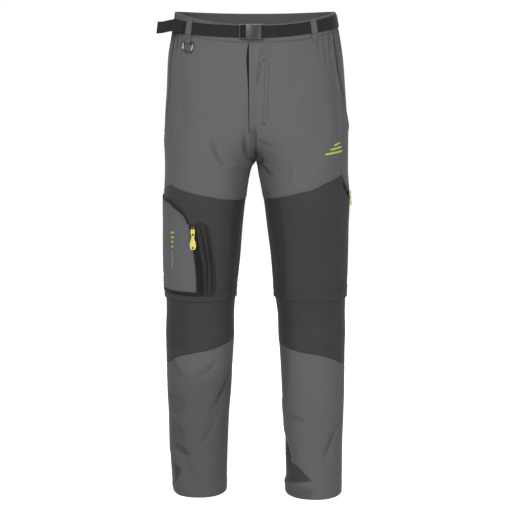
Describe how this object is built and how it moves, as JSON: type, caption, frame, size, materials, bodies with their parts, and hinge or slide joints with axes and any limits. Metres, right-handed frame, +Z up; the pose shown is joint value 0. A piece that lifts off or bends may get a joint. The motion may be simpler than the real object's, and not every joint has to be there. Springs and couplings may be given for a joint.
{
  "type": "convertible zip-off hiking trousers",
  "caption": "Men's zip-off hiking trousers filled out as worn: belted elastic waist, fly, hip pockets, dark thigh and knee panels, cargo pocket, zip-off lower legs.",
  "frame": {"origin": "Centre of the waist opening, level with the top of the waistband at the hips", "axes": "+Z is up towards the waist, -Y is the front and +X is the wearer's left"},
  "size_m": [0.406, 0.2806, 1.0337],
  "materials": {
    "grey_cloth": "plain woven nylon, slightly crinkled",
    "dark_cloth": "plain woven reinforcement, matte",
    "black_cloth": "plain woven, matte",
    "zip_tape": "coil zip tape",
    "webbing": "ribbed narrow webbing",
    "black_plastic": "moulded, satin",
    "dark_metal": "black lacquer over metal",
    "yellow_rubber": "moulded, matte"
  },
  "bodies": {
    "trousers": {"waistband_front_right": "grey_cloth", "waistband_front_left": "grey_cloth", "waistband_back": "grey_cloth", "front_right": "grey_cloth", "front_left": "grey_cloth", "back_right": "grey_cloth", "back_left": "grey_cloth", "hip_facing_right": "grey_cloth", "hip_facing_left": "grey_cloth", "fly_flap": "grey_cloth", "shin_right": "grey_cloth", "shin_left": "grey_cloth", "calf_right": "grey_cloth", "calf_left": "grey_cloth", "belt_loop_front_right": "grey_cloth", "belt_loop_front_left": "grey_cloth", "belt_loop_back_right": "grey_cloth", "belt_loop_back_centre": "grey_cloth", "belt_loop_back_left": "grey_cloth", "ring_tab": "grey_cloth", "cargo_panel": "grey_cloth", "thigh_right": "dark_cloth", "thigh_left": "dark_cloth", "knee_right": "dark_cloth", "knee_left": "dark_cloth", "cargo_gusset": "black_cloth", "cargo_band": "black_cloth", "fly_zip": "zip_tape", "knee_zip_right": "zip_tape", "knee_zip_left": "zip_tape", "cargo_zip": "zip_tape", "thigh_zip_left": "zip_tape", "belt_strap": "webbing", "buckle_socket": "black_plastic", "buckle_plug": "black_plastic", "cargo_slider": "dark_metal", "thigh_slider_left": "dark_metal"},
    "cargo_pull": {"cargo_pull": "yellow_rubber"},
    "thigh_pull_left": {"thigh_pull_left": "yellow_rubber"},
    "d_ring": {"d_ring": "dark_metal"}
  },
  "joints": [
    {"name": "cargo_pull_swing", "type": "hinge", "parent": "trousers", "child": "cargo_pull", "pos_m": [-0.13038, -0.10308, -0.44133], "axis": [-0.9785, 0.2062, 0], "range_deg": [0, 140]},
    {"name": "thigh_pull_swing", "type": "hinge", "parent": "trousers", "child": "thigh_pull_left", "pos_m": [0.19705, -0.04058, -0.37429], "axis": [-0.2766, -0.961, 0], "range_deg": [0, 140]},
    {"name": "ring_swing", "type": "hinge", "parent": "trousers", "child": "d_ring", "pos_m": [-0.137, -0.0874, -0.06013], "axis": [-0.7766, 0.6155, 0.1346], "range_deg": [0, 120]}
  ]
}
